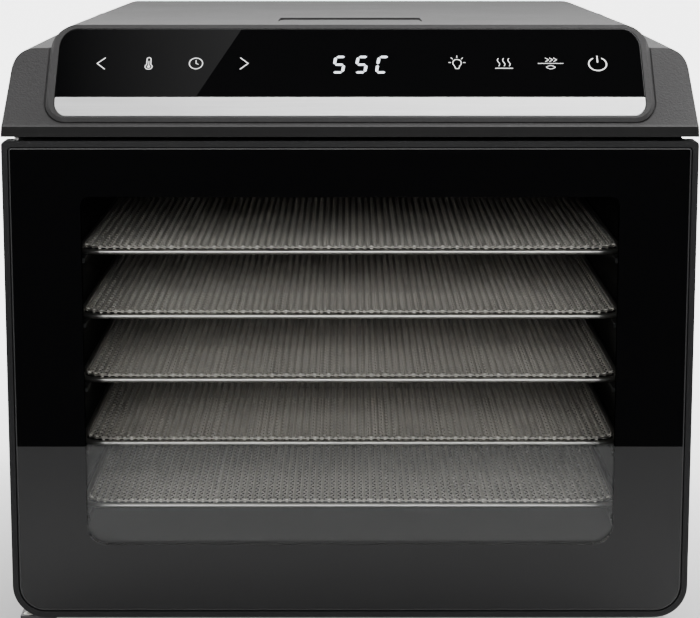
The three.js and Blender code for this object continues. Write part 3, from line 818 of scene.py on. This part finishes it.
def inner_trim():
    ring = prism("door_trim", door_outline(5), -177.7, -174, ALONG_Y,
                 grained_plastic("trim_grain", (0.012, 0.012, 0.013), 0.5))
    carve(ring, prism("window", window_outline(3), -180, -170, ALONG_Y))
    for end in ("upper", "lower"):
        low, high = (corner * 1000 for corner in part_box(f"{end}_catch_plate"))
        gap = 0.3
        slot = oblong(-high.x - gap, gap - low.x, low.z - gap, high.z + gap)
        carve(ring, prism("slot", slot, low.y - gap, -170, ALONG_Y))
    return soften(ring, 0.5, 3)


finished(inner_trim(), "door_inner_trim", "door")


# Cold-rolled steel: a faint rolling grain and a few duller patches.
STEEL = weathered("bare_steel", (0.48, 0.48, 0.47), (22, 3), (300, 3, 0.6), (0.78, 1.12),
                  (0.28, 0.2, 0.08), 0.00004, draw=(1, 1, 8), Metallic=1.0)
NYLON = grained_plastic("nylon", (0.72, 0.70, 0.64), 0.5, 700, 0.00005)
for end in ("upper", "lower"):
    for piece in ("hinge_pin", "catch_plate", "magnet"):
        own(f"{end}_{piece}", STEEL)
    own(f"{end}_hinge_bush", NYLON)


# ---- Front bezel and seal ----
# A moulded frame closes the front of the housing round the chamber's mouth. A strip of satin
# silicone with two lips, a little dusty, is stuck to its face, and the door's trim presses on it.
RUBBER = weathered("silicone", (0.014, 0.014, 0.014), (45, 4, 0.6), (800, 2), (0.8, 1.5),
                   (0.62, 0.25, 0), 0.00005, Sheen_Weight=0.15)
BEZEL_GRAIN = grained_plastic("bezel_grain", (0.012, 0.012, 0.013), 0.48)


def front_bezel():
    plate = prism("bezel_frame", panel_outline(165, 8, 249, (12, 12), (1.2, 1.2)), -171, -167,
                  ALONG_Y, BEZEL_GRAIN)
    carve(plate, prism("mouth", rounded(140, 32, 234, 8), -180, -160, ALONG_Y))
    for low in (40, 193):
        pocket = oblong(-161.3, -150.7, low - 0.3, low + 24.3)
        carve(plate, prism("pocket", pocket, -180, -160, ALONG_Y))
    return soften(plate, 0.5, 3)


finished(front_bezel(), "front_bezel", "housing")
SEAL_FRONT, SEAL_BACK = span("door_seal", 1)


def seal_outline(inset):
    return rounded(149 - inset, 23 + inset, 243 - inset, 14 - inset)


def door_seal():
    strip = prism("seal_lips", seal_outline(0), SEAL_FRONT, SEAL_BACK, ALONG_Y, RUBBER)
    carve(strip, prism("mouth", seal_outline(5.5), -180, -160, ALONG_Y))
    groove = prism("valley", seal_outline(1.9), SEAL_FRONT - 1, SEAL_FRONT + 1.1, ALONG_Y)
    carve(groove, prism("core", seal_outline(3.6), -180, -160, ALONG_Y))
    return soften(carve(strip, groove), 0.3, 3)


finished(door_seal(), "door_seal", "housing")


# ---- Drying chamber ----
# A box of black enamelled sheet with five pairs of rails, a lamp in its ceiling and a louvred
# guard in front of the fan.
ENAMEL = weathered("chamber_enamel", (0.0075, 0.0075, 0.0078), (12, 3), (500, 2), (0.8, 1.3),
                   (0.42, 0.15, 0), 0.00008, Coat_Weight=0.2, Coat_Roughness=0.25)
own("chamber_ceiling", ENAMEL)
own("chamber_floor", ENAMEL)
TRAY_TOP, TRAY_PITCH, FAN_HEIGHT = 189.3, 33.125, 133.0


def tray_rack(name, side):
    """A rolled sheet wall with five rails pressed out of it."""
    points = [(144, 30), (144, 235.7), (142, 235.7)]
    for level in range(5):
        top = TRAY_TOP - level * TRAY_PITCH - 1.5
        points += [(142, top), (133, top), (133, top - 2.5), (142, top - 2.5)]
    points.append((142, 30))
    outline = [(-side * x, z) for x, z in (points if side > 0 else reversed(points))]
    return soften(prism(name, outline, -166.7, 95.7, ALONG_Y, ENAMEL), 0.3, 2)


for side, name in ((-1, "left"), (1, "right")):
    finished(tray_rack(f"{name}_rails", side), f"{name}_tray_rack", "housing")


def slot_rows(rows, pitch, spread):
    """Rows that fill a circle round the shaft: each one's height and half its length."""
    for row in range(-rows, rows + 1):
        yield FAN_HEIGHT + row * pitch, math.sqrt(spread ** 2 - (row * pitch) ** 2)


def fan_guard():
    guard = prism("fan_grille", rounded(141.7, 30.3, 235.7, 2, 4), 96, 97.5, ALONG_Y, ENAMEL)
    for z, reach in slot_rows(6, 13, 88):
        slot = rounded(reach - 2, z - 3.5, z + 3.5, 3.4, 6)
        carve(guard, prism("slot", slot, 90, 100, ALONG_Y))
    carve(guard, prism("hole", arc(-112, 214, 3.5, 3.5, 0, 345, 23), 90, 100, ALONG_Y))
    return soften(guard, 0.3, 2)


finished(fan_guard(), "fan_guard", "housing")
own("lamp_holder", NYLON)


def frosted_lens():
    glass = Finish("lamp_lens", (0.85, 0.83, 0.78), Transmission_Weight=0.6, IOR=1.5)
    frost = glass.noise(900, 2)
    return glass.set(Roughness=0.4 + 0.2 * frost, Normal=glass.bump(frost, 0.00005, 0.5))


own("lamp_lens", frosted_lens())


# ---- Trays ----
# Each tray is a loop of bright drawn steel wire with two cross wires, and on it a mat woven
# from crimped steel wire, bound by a thinner loop that is welded to the frame. The mat's thin
# cross wires and the binding loop are the same steel made much darker, as painted shade.
class Grower(Tree):
    """A Geometry Nodes tree in the making, with named inputs for its sizes."""

    def __init__(self, name, **sizes):
        self.tree = bpy.data.node_groups.new(name, "GeometryNodeTree")
        face = self.tree.interface
        self.given = {}
        for size, value in sizes.items():
            kind = "NodeSocketInt" if isinstance(value, int) else "NodeSocketFloat"
            self.given[size] = face.new_socket(size, in_out="INPUT", socket_type=kind)
            self.given[size].default_value = value
        face.new_socket("Geometry", in_out="OUTPUT", socket_type="NodeSocketGeometry")
        self.start = self.tree.nodes.new("NodeGroupInput")
        self.end = self.tree.nodes.new("NodeGroupOutput")

    def size(self, name):
        return Socket(self.tree, self.start.outputs[name])

    def vector(self, x=0.0, y=0.0, z=0.0):
        return self.node("ShaderNodeCombineXYZ", X=x, Y=y, Z=z)

    def finish(self, shape, material):
        """Ends the tree: real geometry with one material."""
        real = self.node("GeometryNodeRealizeInstances", Geometry=shape)
        painted = self.node("GeometryNodeSetMaterial", Geometry=real, Material=material)
        feed(self.tree, self.end.inputs["Geometry"], painted)
        return self

    def grow(self, name, **sizes):
        """The tree's result with these sizes, as a plain mesh of its own."""
        piece = collect(name, bpy.data.meshes.new(name))
        step = piece.modifiers.new("grow", "NODES")
        step.node_group = self.tree
        for size, value in sizes.items():
            step[self.given[size].identifier] = value
        return replace_mesh(piece)


def woven_wire(name, material):
    """One set of a plain weave's wires: each runs along X, and their rows are laid along Y.
    A wire rises and falls once in two pitches, and stops at the mat's rounded outline."""
    weave = Grower(name, Rows=67, Crossings=75, Pitch=0.00362, Wire=0.0006,
                   Crimp=0.0005, Half_Length=0.1365, Half_Width=0.122, Corner=0.013,
                   Over=1.0, Turn=0.0, Height=0.0)
    rows, crossings, pitch = (weave.size(n) for n in ("Rows", "Crossings", "Pitch"))
    first_row = (rows - 1) * pitch * 0.5
    reach = crossings * pitch * 0.5
    starts = weave.node("GeometryNodeMeshLine", Count=rows,
                        Start_Location=weave.vector(y=first_row * -1.0),
                        Offset=weave.vector(y=pitch))
    wire = weave.node("GeometryNodeCurvePrimitiveLine", Start=weave.vector(x=reach * -1.0),
                      End=weave.vector(x=reach))
    fine = weave.node("GeometryNodeResampleCurve", Curve=wire, Count=crossings * 2 + 1)
    laid = weave.node("GeometryNodeRealizeInstances", Geometry=weave.node(
        "GeometryNodeInstanceOnPoints", Points=starts, Instance=fine))
    spot = weave.node("GeometryNodeInputPosition")
    x, y = (weave.node("ShaderNodeSeparateXYZ", output=axis, Vector=spot) for axis in (0, 1))
    turns = (x + reach - pitch * 0.5 + y + first_row) / pitch * math.pi
    lift = turns.maths("COSINE", turns) * weave.size("Crimp") * weave.size("Over")
    corner = weave.size("Corner")
    past_x = x.maths("MAXIMUM", x.maths("ABSOLUTE", x) - weave.size("Half_Length") + corner, 0.0)
    past_y = y.maths("MAXIMUM", y.maths("ABSOLUTE", y) - weave.size("Half_Width") + corner, 0.0)
    beyond = (past_x * past_x + past_y * past_y) > corner * corner
    crimped = weave.node("GeometryNodeSetPosition", Geometry=laid,
                         Offset=weave.vector(z=lift + weave.size("Height")))
    trimmed = weave.node("GeometryNodeDeleteGeometry", {"domain": "POINT"},
                         Geometry=crimped, Selection=beyond)
    round_wire = weave.node("GeometryNodeCurvePrimitiveCircle", Resolution=6,
                            Radius=weave.size("Wire"))
    solid = weave.node("GeometryNodeCurveToMesh", Curve=trimmed, Profile_Curve=round_wire,
                       Fill_Caps=True)
    turned = weave.node("GeometryNodeTransform", Geometry=weave.node(
        "GeometryNodeSetShadeSmooth", Geometry=solid), Rotation=weave.vector(z=weave.size("Turn")))
    return weave.finish(turned, material)


def drawn_wire(name, colour, roughness, tint=1.1):
    """Bright drawn steel: faint draw marks and a slight change of tone along the wire."""
    return weathered(name, colour, (38, 3), (700, 2), (0.84, tint), (roughness, 0.1, 0.05),
                     0.00002, 0.4, Metallic=1.0)


def wire_loop(name, half, front, back, corner, radius, height, material, sides=12):
    """A closed loop of round wire with rounded corners, its section swept round the path."""
    path = rounded(half, front, back, corner, 8)
    corners = []
    for i, here in enumerate(path):
        way = (Vector(path[(i + 1) % len(path)]) - Vector(path[i - 1])).normalized()
        side = Vector((way.y, -way.x))
        for k in range(sides):
            a = 2 * math.pi * k / sides
            out = side * radius * math.cos(a)
            corners.append(Vector((here[0] + out.x, here[1] + out.y,
                                   height + radius * math.sin(a))) * MM)
    faces = bands(len(path), sides, closed=True, inward=True)
    return collect(name, mesh_of(name, corners, faces, smooth=True), material)


BRIGHT_WIRE = drawn_wire("bright_wire", (0.87, 0.85, 0.82), 0.26)
LONG_WIRE = drawn_wire("long_wire", (0.92, 0.88, 0.835), 0.5)
# Painted shade: the mat's thin cross wires and the binding loop are the same drawn steel as the
# long wires, made far darker so the gaps between the long wires look shaded.
SHADED_THIN_WIRE = drawn_wire("cross_wire", (0.53, 0.50, 0.47), 0.42, 1.2)
LONG_WIRES = woven_wire("long_wires", LONG_WIRE)
CROSS_WIRES = woven_wire("cross_wires", SHADED_THIN_WIRE)


def cross_wire(name, x, front, back, radius, height):
    points = arc(-x, height, radius, radius, 0, 330, 11)
    return prism(name, points, front, back, ALONG_Y, BRIGHT_WIRE)


for level in range(1, 6):
    low, high = (corner * 1000 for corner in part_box(f"tray_frame_{level}"))
    height, middle = (low.z + high.z) / 2, (low.y + high.y) / 2 * MM
    front, back = -155.0, 90.0
    frame_wire = wire_loop(f"tray_{level}_frame", 138, front, back, 12, 1.25, height, BRIGHT_WIRE)
    rim_wire = wire_loop("rim", 136.2, front + 0.8, back - 0.6, 12.5, 0.36, height + 2.3,
                         SHADED_THIN_WIRE, 8)
    runs = [cross_wire("run", x, front, back, 1.0, height + 0.2) for x in (-70, 70)]
    join(frame_wire, *runs, rim_wire)
    frame_wire.data.shade_smooth()
    frame_wire.data.set_sharp_from_angle(angle=math.radians(50))
    finished(frame_wire, f"tray_frame_{level}", f"tray_{level}")
    mat = {"Height": (height + 2.2) * MM}
    across = CROSS_WIRES.grow(f"tray_{level}_cross_wires", Wire=0.00027, Crimp=0.0007, **mat)
    along = LONG_WIRES.grow(f"tray_{level}_long_wires", Rows=75, Crossings=67, Wire=0.00093,
                            Crimp=0.00016, Half_Length=0.122, Half_Width=0.1365, Over=-1.0,
                            Turn=math.pi / 2, **mat)
    for wires in (across, along):
        for vertex in wires.data.vertices:
            vertex.co.y += middle
    finished(along, f"tray_mesh_{level}", f"tray_{level}")
    finished(across, None, f"tray_{level}")


# ---- Fan, heater and sensors ----
# Behind the guard a stamped aluminium wheel blows over a sheathed heating loop. A steel wall
# carries the motor, a snap-action cut-out and a probe whose tip reaches into the chamber.
def heat_tinted():
    """Sheathed heater steel, gone straw and blue where it runs hot."""
    metal = Finish("heater_sheath", (0.16, 0.14, 0.13), Metallic=0.9)
    heat = metal.noise(22, 3, 0.6)
    straw, blue = (0.20, 0.15, 0.10, 1), (0.10, 0.11, 0.15, 1)
    return metal.set(Base_Color=metal.blend(metal.ramp(heat, 0.42, 0.62), straw, blue),
                     Roughness=0.38 + 0.2 * heat,
                     Normal=metal.bump(metal.noise(600, 2), 0.00005, 0.5))


own("heating_coil", heat_tinted())
own("temperature_probe", BRIGHT_WIRE)
for node in ("heater_bracket", "fan_impeller", "fan_nut", "motor_shaft", "fan_bulkhead",
             "motor_bracket", "fan_motor", "thermal_cutout"):
    own(node, STEEL)


# ---- Rear cover, screws and cord gland ----
# A powder coated plate with eleven louvred slots behind the motor and two moulded stand-offs
# that keep it off a wall. Six cross-head screws hold it; a gland guards the cord's hole.
PLATE_IN, PLATE_OUT = 184.0, 187.0
LOUVRE_ROWS = (5, 11, 66)


def turned(name, profile, place, steps, material):
    """A solid of revolution through (radius, height) points about the place's third axis."""
    corners = []
    for radius, height in profile:
        for i in range(steps):
            a = 2 * math.pi * i / steps
            spot = Vector((radius * math.cos(a), radius * math.sin(a), height)) * MM
            corners.append(place @ spot)
    faces = bands(len(profile), steps, closed=bool(profile[0][0]))
    piece = collect(name, mesh_of(name, corners, faces), material)
    return even(outward(piece, weld=1e-7), 32)


def rear_plate():
    plate = prism("rear_plate", panel_outline(165, 8, 251, (6, 6), (3, 3)), PLATE_IN, PLATE_OUT,
                  ALONG_Y, POWDER)
    for z, reach in slot_rows(*LOUVRE_ROWS):
        carve(plate, prism("slot", rounded(reach, z - 2.2, z + 2.2, 2.1, 6), 180, 190, ALONG_Y))
    ring = arc(128, 34, 7.3, 7.3, 0, 352.5, 47)
    carve(plate, prism("hole", ring, 180, 190, ALONG_Y))
    return soften(plate, 0.45, 3)


def louvres():
    """The slats pressed out of the plate, one slanting out over each slot."""
    slats = []
    for z, reach in slot_rows(*LOUVRE_ROWS):
        section = [(PLATE_IN + 0.4, z + 1.0), (PLATE_OUT + 1.5, z - 2.6),
                   (PLATE_OUT + 2.2, z - 2.1), (PLATE_IN + 0.7, z + 2.0)]
        slats.append(prism("slat", section, 0.4 - reach, reach - 0.4, ALONG_X, POWDER))
    return soften(join(*slats), 0.25, 2)


def stand_offs():
    blocks = [prism("stand_off", oblong(x - 5, x + 5, 180, 225), PLATE_OUT, 189.95, ALONG_Y,
                    POWDER) for x in (-120, 120)]
    return soften(join(*blocks), 1.2, 3)


# Zinc plate blackened in a bath: dark and a little oily, its tone wandering in patches.
BLACK_ZINC = weathered("black_zinc", (0.055, 0.054, 0.056), (180, 4, 0.6), (1400, 2), (0.7, 1.5),
                       (0.34, 0.2, 0), 0.00003, 0.4, Metallic=0.8)
for end in ("upper", "lower"):
    own(f"{end}_hinge_bracket", BLACK_ZINC)


def cross_screw():
    """One pan head with a cross recess, its seat at the origin and its head along +Y."""
    profile = [(0, 0), (4.1, 0), (4.1, 0.7), (3.6, 1.6), (2.4, 2.1), (0, 2.25)]
    head = turned("cross_screw", profile, ALONG_Y, 28, BLACK_ZINC)
    for wide, tall in ((2.3, 0.42), (0.42, 2.3)):
        arm = oblong(-wide, wide, -tall, tall)
        carve(head, loft("arm", [[(x * 0.5, y * 0.5) for x, y in arm], arm], [0.7, 2.6], ALONG_Y))
    return even(head)


def rows_of(piece, material):
    """Copies of one piece on a grid that stands in the X-Z plane."""
    grid = Grower("rows_of", Columns=2, Rows=3, Width=0.304, Height=0.222, Back=0.187,
                  Middle=0.1295)
    spots = grid.node("GeometryNodeMeshGrid", Size_X=grid.size("Width"),
                      Size_Y=grid.size("Height"), Vertices_X=grid.size("Columns"),
                      Vertices_Y=grid.size("Rows"))
    upright = grid.node("GeometryNodeTransform", Geometry=spots, Rotation=grid.vector(
        x=math.pi / 2), Translation=grid.vector(y=grid.size("Back"), z=grid.size("Middle")))
    shape = grid.node("GeometryNodeObjectInfo", output=4, Object=piece)
    return grid.finish(grid.node("GeometryNodeInstanceOnPoints", Points=upright, Instance=shape),
                       material)


finished(rear_plate(), "rear_cover", "housing")
finished(louvres(), None, "housing")
finished(stand_offs(), None, "housing")
screw = cross_screw()
finished(rows_of(screw, BLACK_ZINC).grow("rear_screws"), None, "housing")
discard(screw)

GLAND_PLACE = axes((1, 0, 0), (0, 0, -1), (0, 1, 0), (-0.128, 0.184, 0.034))
GLAND = [(4, -6), (7, -6), (7, 3.25), (10.4, 3.25), (11, 3.7), (10.9, 4.3), (9.3, 5.7), (8.6, 6),
         (4.9, 6), (4, 5.2)]
gland = turned("cord_gland", GLAND, GLAND_PLACE, 48, BEZEL_GRAIN)
finished(gland, "cord_gland", "housing")


# ---- Feet and side panels ----
# Four turned silicone feet with a suction groove are pressed into the pan. The side panels are
# flat sheets with dressed edges.
FOOT = [(0, 1.2), (6.2, 1.2), (7.0, 0), (10.4, 0), (11.2, 0.5), (11.5, 1.4), (11.7, 3.2),
        (11.2, 3.6), (11.2, 4.2), (11.8, 4.7), (12, 6.8), (11.6, 7.6), (0, 7.6)]
for row, y in (("front", -0.135), ("rear", 0.160)):
    for side, x in (("left", -0.135), ("right", 0.135)):
        place = axes((1, 0, 0), (0, 1, 0), (0, 0, 1), (x, y, 0))
        foot = turned(f"{row}_{side}_pad", FOOT, place, 48, RUBBER)
        finished(foot, f"{row}_{side}_foot", "housing")

for side, low in (("left", -165.0), ("right", 163.5)):
    panel = prism(f"{side}_sheet", oblong(-166.7, 183.7, 8, 248.7), low, low + 1.5, ALONG_X,
                  POWDER)
    finished(soften(panel, 0.5, 3), f"{side}_side_panel", "housing")
